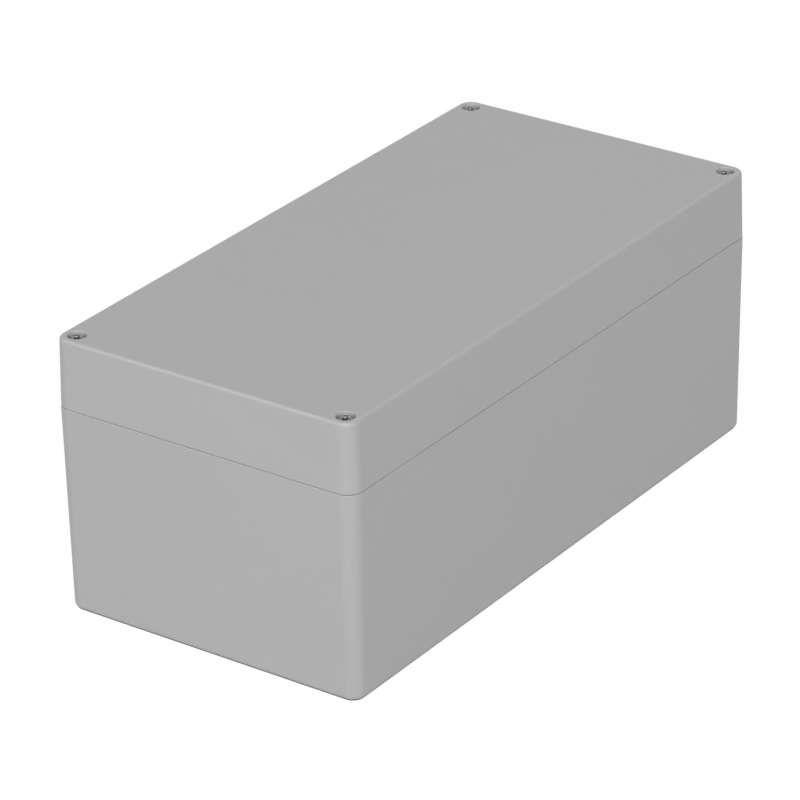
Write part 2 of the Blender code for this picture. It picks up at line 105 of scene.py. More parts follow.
def seal_line(inset):
    """The seal's path moved inwards: along the walls and in round each corner column."""
    half_x, half_y = MOUTH[0] - inset, MOUTH[1] - inset
    notch_x, notch_y = NOTCH[0] - inset, NOTCH[1] - inset
    out, back = BEND_OUT - inset, BEND_IN + inset
    return four_quarters(
        arc((half_x - out, notch_y - out), out, 0, 90, 10)
        + arc((notch_x + back, notch_y + back), back, 270, 180, 8)
        + arc((notch_x - out, half_y - out), out, 0, 90, 10)
    )


def round_over(wall, end, radius, side, steps=8):
    """(inset, height) points round an edge from a wall to an end face above (side 1) or below (-1)."""
    turns = [math.radians(90 * i / steps) for i in range(steps + 1)]
    return [(wall + radius * (1 - math.cos(t)), end - side * radius * (1 - math.sin(t))) for t in turns]


def skin(bm, rings, loop=False):
    """Joins rings of as many points each, with a cap at both ends unless they close into a loop."""
    rows = [[bm.verts.new(point) for point in ring] for ring in rings]
    for lower, upper in zip(rows, rows[1:] + rows[:1] if loop else rows[1:]):
        for i in range(len(lower)):
            bm.faces.new((lower[i - 1], lower[i], upper[i], upper[i - 1]))
    if not loop:
        bm.faces.new(rows[0])
        bm.faces.new(rows[-1])


def turn(bm, profile, centre=(0.0, 0.0), steps=64, loop=False):
    """Turns a profile of (radius, height) points about an upright axis."""
    circle = [math.tau * i / steps for i in range(steps)]
    x, y = centre
    skin(bm, [[(x + r * math.cos(a), y + r * math.sin(a), z) for a in circle] for r, z in profile], loop)


def solid(name, bm):
    """An object from a mesh drawn in millimetres."""
    bmesh.ops.scale(bm, vec=(0.001, 0.001, 0.001), verts=bm.verts)
    bmesh.ops.recalc_face_normals(bm, faces=bm.faces)
    mesh = bpy.data.meshes.new(name)
    bm.to_mesh(mesh)
    bm.free()
    made = bpy.data.objects.new(name, mesh)
    bpy.context.scene.collection.objects.link(made)
    return made


def block(name, line, profile, loop=False):
    """A block whose outline is line(inset) at each (inset, height) of a profile."""
    bm = bmesh.new()
    skin(bm, [[(x, y, z) for x, y in line(inset)] for inset, z in profile], loop)
    return solid(name, bm)


def turnings(name, profile, centres, steps=64):
    bm = bmesh.new()
    for centre in centres:
        turn(bm, profile, centre, steps)
    return solid(name, bm)


def take_result(obj):
    """Makes the modifiers' result the object's own mesh."""
    made = bpy.data.meshes.new_from_object(obj.evaluated_get(bpy.context.evaluated_depsgraph_get()))
    obj.modifiers.clear()
    obj.data = made
    made.name = obj.name


def settle(obj, angle=30):
    """Ends an object's modelling: smooth but for its sharp edges, with flat faces shaded flat."""
    tools = [modifier.object for modifier in obj.modifiers if modifier.type == "BOOLEAN"]
    take_result(obj)
    for tool in tools:
        bpy.data.objects.remove(tool)
    obj.data.shade_smooth()
    obj.data.set_sharp_from_angle(angle=math.radians(angle))
    even = obj.modifiers.new("even_shading", "WEIGHTED_NORMAL")
    even.keep_sharp = True
    take_result(obj)


def carve(obj, steps):
    """Joins to or cuts from an object each tool in turn."""
    for tool, operation in steps:
        modifier = obj.modifiers.new(tool.name, "BOOLEAN")
        modifier.solver = "EXACT"
        modifier.operation = operation
        modifier.object = tool
    settle(obj)


def mouth_of(radius, top, edge, steps=4):
    """The end of a bore's profile at a face, with its rim rounded by edge."""
    rim = [(radius + inset, z) for inset, z in round_over(0.0, top, edge, 1, steps)]
    return rim + [(radius + edge + PAST, top + PAST)]


foot = BASE_TOP * BASE_LEAN
outside = round_over(foot, 0.0, FOOT_RADIUS, -1)[::-1] + round_over(0.0, BASE_TOP, BASE_EDGE_RADIUS, 1, 5)
base = block("enclosure_base", outer_line, outside)

half = [(0.75, BASE_TOP - PAST), (0.60, TONGUE_TOP - 0.3), (0.45, TONGUE_TOP - 0.06), (0.25, TONGUE_TOP)]
ridge = [(SEAL_MIDDLE - wide, z) for wide, z in half] + [(SEAL_MIDDLE + wide, z) for wide, z in half[::-1]]
hollow_foot = (BASE_TOP - FLOOR) * CORE_LEAN
hollow = round_over(hollow_foot, FLOOR, INNER_RADIUS, -1, 6)[::-1] + [(0.0, BASE_TOP + PAST)]
flare = [(1.4, -PAST), (1.1, 0.0), (0.7, 0.25), (0.45, 0.6), (0.3, 1.1)]
boss = [(BOSS_RADIUS + wider, FLOOR + z) for wider, z in flare]
boss += [(BOSS_RADIUS, BOSS_TOP - 0.3), (BOSS_RADIUS - 0.09, BOSS_TOP - 0.08), (BOSS_RADIUS - 0.3, BOSS_TOP)]
boss_bore = [(BOSS_BORE, BOSS_BORE_END)] + mouth_of(BOSS_BORE, BOSS_TOP, 0.2)
column_bore = [(RELIEF_BORE, RELIEF_END), (RELIEF_BORE, BUSH_SEAT), (BUSH_BORE, BUSH_SEAT)]
column_bore += mouth_of(BUSH_BORE, BASE_TOP, 0.25)
well = [(WALL_SCREW_BORE + 1.0, -PAST), (WALL_SCREW_BORE, PAST), (WALL_SCREW_BORE, WELL_SEAT)]
well += [(WELL_RADIUS, WELL_SEAT)] + mouth_of(WELL_RADIUS, BASE_TOP, 0.3)
pin_marks = [(PIN_RADIUS, FLOOR - MARK_DEPTH), (PIN_RADIUS, FLOOR + PAST)]
pin_places = [(45.0 * sx, 35.0 * sy) for sx, sy in QUARTERS] + [(70.0 * s, 0.0) for s in (-1, 1)]
gate_mark = [(GATE_DISH + PAST, -PAST), (GATE_DISH, 0.3)]
gate = [(1.2, 0.05), (1.0, 0.1), (0.9, 0.8)]
carve(
    base,
    (
        (block("tongue", seal_line, ridge, loop=True), "UNION"),
        (block("base_hollow", seal_line, hollow), "DIFFERENCE"),
        (turnings("bosses", boss, BOSSES), "UNION"),
        (turnings("boss_bores", boss_bore, BOSSES, 48), "DIFFERENCE"),
        (turnings("column_bores", column_bore, SCREWS, 48), "DIFFERENCE"),
        (turnings("wells", well, WELLS, 48), "DIFFERENCE"),
        (turnings("ejector_pin_marks", pin_marks, pin_places, 48), "DIFFERENCE"),
        (turnings("gate_mark", gate_mark, [(0.0, 0.0)]), "DIFFERENCE"),
        (turnings("gate", gate, [(0.0, 0.0)], 24), "UNION"),
    ),
)


def linear(colour):
    """Linear RGBA from an sRGB hex colour."""
    parts = [int(colour[i : i + 2], 16) / 255 for i in (0, 2, 4)]
    return [c / 12.92 if c <= 0.04045 else ((c + 0.055) / 1.055) ** 2.4 for c in parts] + [1.0]


def add(tree, kind, inputs=None, **settings):
    """Adds a node with its settings. Each input takes a value, or the output socket of another node."""
    made = tree.nodes.new(kind)
    for name, value in settings.items():
        setattr(made, name, value)
    for name, value in (inputs or {}).items():
        if isinstance(value, bpy.types.NodeSocket):
            tree.links.new(value, made.inputs[name])
        else:
            made.inputs[name].default_value = value
    return made


def surface(name):
    """A new material, its tree, its Principled shader and the object coordinates in it."""
    made = bpy.data.materials.new(name)
    made.use_nodes = True
    tree = made.node_tree
    return made, tree, tree.nodes["Principled BSDF"], add(tree, "ShaderNodeTexCoord").outputs["Object"]


def join(tree, shader, sockets):
    for name, socket in sockets.items():
        tree.links.new(socket, shader.inputs[name])


# Injection moulded polycarbonate, as it leaves a spark-eroded mould: an even light grey
# with a satin sheen. The mould's grain is about 0.15 mm, too fine for these pictures, so it
# is drawn at 0.45 mm and very shallow. Flow makes the gloss wander a little over 40 mm.
polycarbonate, tree, shader, places = surface("moulded_polycarbonate_light_grey")
grain = add(tree, "ShaderNodeTexNoise", {"Vector": places, "Scale": 1 / 0.00045, "Detail": 2.0})
flow = add(tree, "ShaderNodeTexNoise", {"Vector": places, "Scale": 1 / 0.040, "Detail": 3.0})
gloss = add(tree, "ShaderNodeMapRange", {"Value": flow.outputs["Fac"], "To Min": 0.38, "To Max": 0.46})
tint = add(tree, "ShaderNodeValToRGB", {"Fac": flow.outputs["Fac"]})
tint.color_ramp.elements[0].color = linear("B0B1B0")
tint.color_ramp.elements[1].color = linear("B4B5B4")
bump = add(tree, "ShaderNodeBump", {"Height": grain.outputs["Fac"], "Strength": 0.25, "Distance": 0.00002})
finish = {"Base Color": tint.outputs[0], "Roughness": gloss.outputs[0], "Normal": bump.outputs[0]}
join(tree, shader, finish)
shader.inputs["IOR"].default_value = 1.585

base.data.materials.append(polycarbonate)
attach(base, "base")
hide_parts("base")


# The brass bushes: six pressed into the floor bosses and four into the corner columns.
# Each is turned from bar, threaded M4 inside, and knurled in two bands outside, so that it
# grips the plastic.
THREAD_PITCH = 0.7
BUSH_EDGE = 0.3
BUSH_BEVEL = 0.25
BUSH_GROOVE_SHARE = 0.08
FLANK_SHARE = 0.47


def group(name, sizes):
    """A geometry node tree with the named inputs, its input sockets and its output's input."""
    made = bpy.data.node_groups.new(name, "GeometryNodeTree")
    for side in ("INPUT", "OUTPUT"):
        made.interface.new_socket("Geometry", in_out=side, socket_type="NodeSocketGeometry")
    for label, kind in sizes.items():
        made.interface.new_socket(label, in_out="INPUT", socket_type=f"NodeSocket{kind}")
    return made, made.nodes.new("NodeGroupInput").outputs, made.nodes.new("NodeGroupOutput").inputs[0]


def finish_group(tree, geometry, finish, result):
    whole = add(tree, "GeometryNodeRealizeInstances", {"Geometry": geometry})
    painted = add(tree, "GeometryNodeSetMaterial", {"Geometry": whole.outputs[0], "Material": finish})
    tree.links.new(painted.outputs[0], result)


def grow(obj, nodes, values, angle=30):
    """Runs a geometry node tree on an object with these values, and keeps the result as its mesh."""
    modifier = obj.modifiers.new(nodes.name, "NODES")
    modifier.node_group = nodes
    for item in nodes.interface.items_tree:
        if item.in_out == "INPUT" and item.name in values:
            modifier[item.identifier] = values[item.name]
    settle(obj, angle)


# A thread: a diamond section swept along a helix, half sunk in the wall that carries it
thread, given, result = group(
    "thread",
    {"Pitch": "Float", "Radius": "Float", "Crest": "Float", "Low End": "Float", "Length": "Float",
     "Finish": "Material"},
)
coils = add(thread, "ShaderNodeMath", {0: given["Length"], 1: given["Pitch"]}, operation="DIVIDE")
helix = add(
    thread,
    "GeometryNodeCurveSpiral",
    {"Resolution": 32, "Rotations": coils.outputs[0], "Start Radius": given["Radius"],
     "End Radius": given["Radius"], "Height": given["Length"]},
)
upright = add(thread, "GeometryNodeSetCurveNormal", {"Curve": helix.outputs[0]}, mode="Z_UP")
flank = add(thread, "ShaderNodeMath", {0: given["Pitch"], 1: FLANK_SHARE}, operation="MULTIPLY").outputs[0]
spans = (("X", flank), ("Y", given["Crest"]))
corners = [add(thread, "ShaderNodeCombineXYZ", {axis: span}) for axis, span in spans]
corners += [
    add(thread, "ShaderNodeVectorMath", {0: corner.outputs[0], 1: (-1.0, -1.0, -1.0)}, operation="MULTIPLY")
    for corner in corners
]
section = add(
    thread,
    "GeometryNodeCurvePrimitiveQuadrilateral",
    {f"Point {i}": corner.outputs[0] for i, corner in enumerate(corners, 1)},
    mode="POINTS",
)
swept = add(
    thread,
    "GeometryNodeCurveToMesh",
    {"Curve": upright.outputs[0], "Profile Curve": section.outputs[0], "Fill Caps": True},
)
lift = add(thread, "ShaderNodeCombineXYZ", {"Z": given["Low End"]})
raised = add(
    thread, "GeometryNodeTransform", {"Geometry": swept.outputs[0], "Translation": lift.outputs[0]}
)
both = add(thread, "GeometryNodeJoinGeometry")
thread.links.new(raised.outputs[0], both.inputs[0])
thread.links.new(given["Geometry"], both.inputs[0])
finish_group(thread, both.outputs[0], given["Finish"], result)

# Knurled copies: two bands of teeth round a sleeve, and the whole set down at each place
knurl, given, result = group(
    "knurled_copies",
    {"Places": "Object", "Radius": "Float", "Band Height": "Float", "Low Band": "Float",
     "High Band": "Float", "Teeth": "Int", "Tooth": "Float", "Finish": "Material"},
)
rim = add(knurl, "GeometryNodeMeshCircle", {"Vertices": given["Teeth"], "Radius": given["Radius"]})
outwards = add(knurl, "GeometryNodeInputPosition").outputs[0]
facing = add(knurl, "FunctionNodeAlignRotationToVector", {"Vector": outwards}, axis="X")
size = add(
    knurl, "ShaderNodeCombineXYZ", {"X": given["Tooth"], "Y": given["Tooth"], "Z": given["Band Height"]}
)
tooth = add(knurl, "GeometryNodeMeshCube", {"Size": size.outputs[0]})
edge_out = (0.0, 0.0, math.radians(45))
tooth = add(knurl, "GeometryNodeTransform", {"Geometry": tooth.outputs["Mesh"], "Rotation": edge_out})
teeth = add(
    knurl,
    "GeometryNodeInstanceOnPoints",
    {"Points": rim.outputs["Mesh"], "Instance": tooth.outputs[0], "Rotation": facing.outputs[0]},
)
bands = add(knurl, "GeometryNodeJoinGeometry")
knurl.links.new(given["Geometry"], bands.inputs[0])
for label in ("Low Band", "High Band"):
    lift = add(knurl, "ShaderNodeCombineXYZ", {"Z": given[label]})
    band = add(
        knurl, "GeometryNodeTransform", {"Geometry": teeth.outputs[0], "Translation": lift.outputs[0]}
    )
    knurl.links.new(band.outputs[0], bands.inputs[0])
spots = add(knurl, "GeometryNodeObjectInfo", {"Object": given["Places"]})
copies = add(
    knurl,
    "GeometryNodeInstanceOnPoints",
    {"Points": spots.outputs["Geometry"], "Instance": bands.outputs[0]},
)
finish_group(knurl, copies.outputs[0], given["Finish"], result)

# Turned brass: warm yellow metal. Fine turning rings, drawn 0.5 mm apart so that they show,
# stretch the highlights round each bore, and the gloss is duller where swarf has rubbed.
# A Wave repeats every 0.314 of its unit, so a unit of 1.6 mm sets the rings 0.5 mm apart.
brass, tree, shader, places = surface("turned_brass")
rub = add(tree, "ShaderNodeTexNoise", {"Vector": places, "Scale": 1 / 0.0012, "Detail": 3.0})
dull = add(tree, "ShaderNodeMapRange", {"Value": rub.outputs["Fac"], "To Min": 0.22, "To Max": 0.42})
rings = add(
    tree,
    "ShaderNodeTexWave",
    {"Vector": places, "Scale": 1 / 0.0016, "Distortion": 0.4},
    bands_direction="Z",
)
bump = add(tree, "ShaderNodeBump", {"Height": rings.outputs["Fac"], "Strength": 0.3, "Distance": 0.00001})
join(tree, shader, {"Roughness": dull.outputs[0], "Normal": bump.outputs[0]})
shader.inputs["Base Color"].default_value = linear("C2A15A")
shader.inputs["Metallic"].default_value = 1.0


def bush_set(name, bore, radius, low, high, centres, replaced):
    """Brass bushes of one size, as one object: grooved sleeves, threaded and knurled."""
    middle, gap = (low + high) / 2, (high - low) * BUSH_GROOVE_SHARE
    inner = radius - BUSH_EDGE
    sleeve = [(bore, low), (inner, low), (radius, low + BUSH_EDGE), (radius, middle - gap)]
    sleeve += [(inner, middle - gap), (inner, middle + gap), (radius, middle + gap)]
    sleeve += [(radius, high - BUSH_EDGE), (inner, high)]
    sleeve += [(bore + BUSH_BEVEL, high), (bore, high - BUSH_BEVEL)]
    bm = bmesh.new()
    turn(bm, sleeve, steps=48, loop=True)
    made = solid(name, bm)
    coil = {"Pitch": THREAD_PITCH / 1000, "Radius": bore / 1000, "Crest": 0.0003}
    coil |= {"Low End": (low + 0.5) / 1000, "Length": (high - low - 1.2) / 1000}
    grow(made, thread, coil | {"Finish": brass})
    marks = bmesh.new()
    for x, y in centres:
        marks.verts.new((x, y, 0.0))
    marks = solid(name + "_places", marks)
    band = middle - gap - low - BUSH_EDGE
    sizes = {"Radius": (radius - 0.02) / 1000, "Band Height": band / 1000, "Teeth": 36, "Tooth": 0.00028}
    sizes["Low Band"] = (low + BUSH_EDGE + band / 2) / 1000
    sizes["High Band"] = (high - BUSH_EDGE - band / 2) / 1000
    grow(made, knurl, sizes | {"Places": marks, "Finish": brass})
    bpy.data.objects.remove(marks)
    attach(made, "base")
    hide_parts(*replaced)


bush_set(
    "boss_bushes",
    bore=1.95,
    radius=2.6,
    low=5.2,
    high=11.2,
    centres=BOSSES,
    replaced=[f"boss_bush_{i}" for i in range(1, 7)],
)
bush_set(
    "lid_screw_bushes",
    bore=2.3,
    radius=2.9,
    low=65.2,
    high=74.2,
    centres=SCREWS,
    replaced=[f"lid_screw_bush_{i}" for i in range(1, 5)],
)


# The lid, moulded in the same polycarbonate. It stands 0.1 mm back from the base all round.
# Its top edge is rounded, each corner is counterbored for a screw, and inside it has a
# groove for the seal, four bosses and a blind hollow above each well.
LID_FOOT = 75.06
LID_TOP = 100.0
LID_LEAN = math.tan(math.radians(1.4))
STEP_BACK = 0.1
LID_EDGE_RADIUS = 0.45
TOP_RADIUS = 1.4
ROOF = 97.0
HEAD_SEAT = 96.2
HEAD_BORE = 3.15
HEAD_BORE_EDGE = 0.48
THREAD_BORE = 2.2
WASHER_BORE = 3.4
WASHER_STOP = 86.5
LIP = 1.3
GROOVE_HALF = 1.15
GROOVE_ROOF = 80.3
LID_BOSSES = [(80.0 * sx, 35.0 * sy) for sx, sy in QUARTERS]
LID_BOSS_END = 89.0
LID_BOSS_BORE = 1.65
LID_BOSS_BORE_END = 96.0
LID_PIN_RADIUS = 2.5
POCKET_PLACE = (103.15, 53.15)
POCKET_HALF = (5.35, 3.85)
POCKET_RADIUS = 1.5

crown = STEP_BACK + (LID_TOP - BASE_TOP) * LID_LEAN
outside = round_over(STEP_BACK, LID_FOOT, LID_EDGE_RADIUS, -1, 5)[::-1]
outside += round_over(crown, LID_TOP, TOP_RADIUS, 1, 12)
lid = block("enclosure_lid", outer_line, outside)
below = LID_FOOT - PAST
core_lean = (ROOF - LID_FOOT) * CORE_LEAN
hollow = [(LIP, below)] + round_over(LIP + core_lean, ROOF, INNER_RADIUS, 1, 6)
outer, inner = SEAL_MIDDLE - GROOVE_HALF, SEAL_MIDDLE + GROOVE_HALF
groove = [(outer, below), (outer, GROOVE_ROOF), (inner, GROOVE_ROOF), (inner, below)]
lid_boss = [(3.3, LID_BOSS_END), (3.5, LID_BOSS_END + 0.2), (4.1, ROOF - PAST), (4.6, ROOF + PAST)]
lid_boss_bore = [(LID_BOSS_BORE + 0.2, LID_BOSS_END - PAST), (LID_BOSS_BORE + 0.2, LID_BOSS_END)]
lid_boss_bore += [(LID_BOSS_BORE, LID_BOSS_END + 0.2), (LID_BOSS_BORE, LID_BOSS_BORE_END)]
screw_bore = [(WASHER_BORE, below), (WASHER_BORE, WASHER_STOP), (THREAD_BORE, WASHER_STOP)]
screw_bore += [(THREAD_BORE, HEAD_SEAT), (HEAD_BORE, HEAD_SEAT)]
screw_bore += mouth_of(HEAD_BORE, LID_TOP, HEAD_BORE_EDGE)
pin_marks = [(LID_PIN_RADIUS, ROOF - PAST), (LID_PIN_RADIUS, ROOF + MARK_DEPTH)]
pin_places = [(50.0 * sx, 42.0 * sy) for sx, sy in QUARTERS] + [(100.0 * s, 0.0) for s in (-1, 1)]
pockets = bmesh.new()
for sx, sy in QUARTERS:
    middle_x, middle_y = POCKET_PLACE[0] * sx, POCKET_PLACE[1] * sy
    rings = []
    for inset, z in ((0.0, below), (core_lean, ROOF)):
        line = box_line(POCKET_HALF[0] - inset, POCKET_HALF[1] - inset, POCKET_RADIUS - inset)
        rings.append([(middle_x + x, middle_y + y, z) for x, y in line])
    skin(pockets, rings)
carve(
    lid,
    (
        (block("lid_hollow", seal_line, hollow), "DIFFERENCE"),
        (block("groove", seal_line, groove, loop=True), "DIFFERENCE"),
        (solid("pockets", pockets), "DIFFERENCE"),
        (turnings("lid_bosses", lid_boss, LID_BOSSES), "UNION"),
        (turnings("lid_boss_bores", lid_boss_bore, LID_BOSSES), "DIFFERENCE"),
        (turnings("screw_bores", screw_bore, SCREWS), "DIFFERENCE"),
        (turnings("ejector_pin_marks", pin_marks, pin_places, 48), "DIFFERENCE"),
    ),
)
lid.data.materials.append(polycarbonate)
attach(lid, "lid")
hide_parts("lid")


# The seal, a moulded loop of dark silicone rubber in the lid's groove, which the base's
# tongue presses from below. Its section is a rounded block swept along the seal line.
SEAL_CENTRE = 79.05
sweep, given, result = group(
    "swept_seal", {"Width": "Float", "Height": "Float", "Edge": "Float", "Finish": "Material"}
)
section = add(
    sweep,
    "GeometryNodeCurvePrimitiveQuadrilateral",
    {"Width": given["Height"], "Height": given["Width"]},
)
eased = add(
    sweep,
    "GeometryNodeFilletCurve",
    {"Curve": section.outputs[0], "Radius": given["Edge"], "Count": 4},
    mode="POLY",
)
path = add(sweep, "GeometryNodeMeshToCurve", {"Mesh": given["Geometry"]})
path = add(sweep, "GeometryNodeSetCurveNormal", {"Curve": path.outputs[0]}, mode="Z_UP")
swept = add(
    sweep, "GeometryNodeCurveToMesh", {"Curve": path.outputs[0], "Profile Curve": eased.outputs[0]}
)
finish_group(sweep, swept.outputs[0], given["Finish"], result)

# Silicone rubber from a polished tool: dark grey and dull, with the faint waviness of a
# soft moulding every 3 mm.
silicone, tree, shader, places = surface("moulded_silicone_rubber")
waves = add(tree, "ShaderNodeTexNoise", {"Vector": places, "Scale": 1 / 0.003, "Detail": 4.0})
dull = add(tree, "ShaderNodeMapRange", {"Value": waves.outputs["Fac"], "To Min": 0.55, "To Max": 0.75})
bump = add(tree, "ShaderNodeBump", {"Height": waves.outputs["Fac"], "Strength": 0.3, "Distance": 0.0001})
join(tree, shader, {"Roughness": dull.outputs[0], "Normal": bump.outputs[0]})
shader.inputs["Base Color"].default_value = linear("4A4B4C")
shader.inputs["IOR"].default_value = 1.41

run = bmesh.new()
points = [run.verts.new((x, y, SEAL_CENTRE)) for x, y in seal_line(SEAL_MIDDLE)]
for i in range(len(points)):
    run.edges.new((points[i - 1], points[i]))
seal = solid("seal_loop", run)
grow(seal, sweep, {"Width": 0.0017, "Height": 0.0019, "Edge": 0.0004, "Finish": silicone}, 50)
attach(seal, "lid")
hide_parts("gasket")


# The four lid screws, M4 in stainless steel, turned with a waist so that they stay in the
# lid. The head has a cross recess and sits 1.1 mm below the lid's top, and the thread is
# rolled with a pitch of 0.7 mm.
HEAD_TOP = 98.9
HEAD_UNDERSIDE = 96.5
HEAD_RADIUS = 2.9
RECESS_ARM = 2.35
RECESS_SIDE = 0.60
RECESS_ROOT = 1.10
RECESS_TAPER = ((0.30, 2.2), (0.58, 1.5), (0.90, 0.6), (1.04, -0.1))
WAIST_RADIUS = 1.4
THREAD_LOW = 66.0
THREAD_HIGH = 76.3
ROOT_RADIUS = 1.62

# Stainless steel, turned and tumbled: a grey satin metal. Folding the coordinates brings
# all four axes to one place, so that turning rings run round each head, drawn 2.5 mm apart
# so that they show. Inside the cross recess the steel's colour is painted darker, as painted shade.
steel, tree, shader, places = surface("turned_stainless_steel")
folded = add(tree, "ShaderNodeVectorMath", {0: places}, operation="ABSOLUTE")
axis = (SCREWS[0][0] / 1000, SCREWS[0][1] / 1000, HEAD_TOP / 1000)
centred = add(tree, "ShaderNodeVectorMath", {0: folded.outputs[0], 1: axis}, operation="SUBTRACT")
centred = centred.outputs[0]
rings = add(
    tree,
    "ShaderNodeTexWave",
    {"Vector": centred, "Scale": 1 / 0.008, "Distortion": 0.2},
    wave_type="RINGS",
    rings_direction="Z",
)
tumbled = add(tree, "ShaderNodeTexNoise", {"Vector": centred, "Scale": 1 / 0.0006, "Detail": 3.0})
satin = add(tree, "ShaderNodeMapRange", {"Value": tumbled.outputs["Fac"], "To Min": 0.28, "To Max": 0.45})
bump = add(tree, "ShaderNodeBump", {"Height": rings.outputs["Fac"], "Strength": 0.25, "Distance": 0.00001})
apart = add(tree, "ShaderNodeSeparateXYZ", {0: centred}).outputs
across = add(tree, "ShaderNodeCombineXYZ", {"X": apart["X"], "Y": apart["Y"]})
radius = add(tree, "ShaderNodeVectorMath", {0: across.outputs[0]}, operation="LENGTH").outputs["Value"]
bounds = (
    (radius, "LESS_THAN", (RECESS_ARM + 0.1) / 1000),
    (apart["Z"], "LESS_THAN", -0.00015),
    (apart["Z"], "GREATER_THAN", (HEAD_UNDERSIDE - HEAD_TOP) / 1000),
)
# Painted shade: a mask of the cross recess, below the head's top, where the colour is darkened to stand in
# for shade.
painted_recess_shade = 1.0
for value, test, limit in bounds:
    within = add(tree, "ShaderNodeMath", {0: value, 1: limit}, operation=test).outputs[0]
    painted_recess_shade = add(tree, "ShaderNodeMath", {0: within, 1: painted_recess_shade}, operation="MULTIPLY").outputs[0]
tone = add(tree, "ShaderNodeMix", {"Factor": painted_recess_shade}, data_type="RGBA")
tone.inputs[6].default_value = linear("828383")
tone.inputs[7].default_value = linear("737372")
finish = {"Base Color": tone.outputs[2], "Roughness": satin.outputs[0], "Normal": bump.outputs[0]}
join(tree, shader, finish)
shader.inputs["Metallic"].default_value = 1.0


def screw_body(name, centre):
    """The turned body of a screw, its head cut for a cross driver."""
    shape = [(ROOT_RADIUS - 0.6, THREAD_LOW), (ROOT_RADIUS, THREAD_LOW + 0.6), (ROOT_RADIUS, THREAD_HIGH)]
    shape += [(WAIST_RADIUS, THREAD_HIGH + 0.3), (WAIST_RADIUS, HEAD_UNDERSIDE)]
    shape += [(HEAD_RADIUS - 0.15, HEAD_UNDERSIDE), (HEAD_RADIUS, HEAD_UNDERSIDE + 0.15)]
    shape += [(HEAD_RADIUS - inset, z) for inset, z in round_over(0.0, HEAD_TOP - 0.10, 0.35, 1, 6)]
    shape += [(1.6, HEAD_TOP - 0.03), (0.8, HEAD_TOP)]
    bm = bmesh.new()
    turn(bm, shape)
    made = solid(name, bm)
    cutter = bmesh.new()
    rings = []
    for share, depth in RECESS_TAPER:
        arm, side, root = RECESS_ARM * share, RECESS_SIDE * share, RECESS_ROOT * share
        quarter = [(arm, side * 0.55), (arm * 0.94, side), (root, side * 1.05)]
        quarter += [(y, x) for x, y in quarter[::-1]]
        rings.append([(x, y, HEAD_TOP - depth) for x, y in four_quarters(quarter)])
    skin(cutter, rings)
    carve(made, ((solid(name + "_cross", cutter), "DIFFERENCE"),))
    coil = {"Pitch": THREAD_PITCH / 1000, "Radius": (ROOT_RADIUS - 0.02) / 1000, "Crest": 0.00038}
    coil |= {"Low End": (THREAD_LOW + 0.5) / 1000, "Length": (THREAD_HIGH - THREAD_LOW - 0.7) / 1000}
    grow(made, thread, coil | {"Finish": steel})
    made.data.transform(Matrix.Translation((centre[0] / 1000, centre[1] / 1000, 0.0)))
    return made


for number, centre in enumerate(SCREWS, 1):
    screw = screw_body(f"cross_screw_{number}", centre)
    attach(screw, f"lid_screw_{number}")
    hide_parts(f"lid_screw_{number}")


# The washers, natural nylon rings round the screws' waists that keep the screws in the lid.
# They are punched from sheet and tumbled, so their edges are soft.
WASHER = [(1.7, 76.7), (1.8, 76.6), (2.9, 76.6), (3.05, 76.67), (3.1, 76.8)]
WASHER += [(3.1, 77.6), (3.05, 77.73), (2.9, 77.8), (1.8, 77.8), (1.7, 77.7)]

# Natural nylon: milky white and softly glossy, so a little light runs inside it.
nylon, tree, shader, places = surface("natural_nylon")
cloud = add(tree, "ShaderNodeTexNoise", {"Vector": places, "Scale": 1 / 0.0015, "Detail": 3.0})
milk = add(tree, "ShaderNodeMapRange", {"Value": cloud.outputs["Fac"], "To Min": 0.38, "To Max": 0.52})
bump = add(tree, "ShaderNodeBump", {"Height": cloud.outputs["Fac"], "Strength": 0.2, "Distance": 0.00005})
join(tree, shader, {"Roughness": milk.outputs[0], "Normal": bump.outputs[0]})
shader.inputs["Base Color"].default_value = linear("DAD8CC")
shader.inputs["IOR"].default_value = 1.53
shader.inputs["Subsurface Weight"].default_value = 0.15
shader.inputs["Subsurface Radius"].default_value = (0.001, 0.0009, 0.0007)

for number, centre in enumerate(SCREWS, 1):
    bm = bmesh.new()
    turn(bm, WASHER, centre, loop=True)
    washer = solid(f"captive_washer_{number}", bm)
    settle(washer)
    washer.data.materials.append(nylon)
    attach(washer, f"screw_washer_{number}")
    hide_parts(f"screw_washer_{number}")


# The studio: a white floor that fades into a white room. Only what the camera and the
# reflections see is lifted to white. The floor keeps a part of the light that falls on it,
# so the enclosure's soft shadow stays, and its glow is painted darker where it meets the
# base, as a painted contact shadow.
FLOOR_SIZE = 12000.0
CONTACT_REACH = 0.0005
WHITE = linear("FFFFFF")
LAMP_DISTANCE = 4.0
LAMP_AIM = Vector((0.0, 0.0, 0.05))


def lifted(tree, plain, seen):
    """Shows the shader seen to camera, glossy and transmission rays, and plain to all others."""
    path = add(tree, "ShaderNodeLightPath").outputs
    share = path["Is Camera Ray"]
    for label in ("Is Glossy Ray", "Is Transmission Ray"):
        share = add(tree, "ShaderNodeMath", {0: share, 1: path[label]}, operation="MAXIMUM").outputs[0]
    return add(tree, "ShaderNodeMixShader", {0: share, 1: plain, 2: seen}).outputs[0]


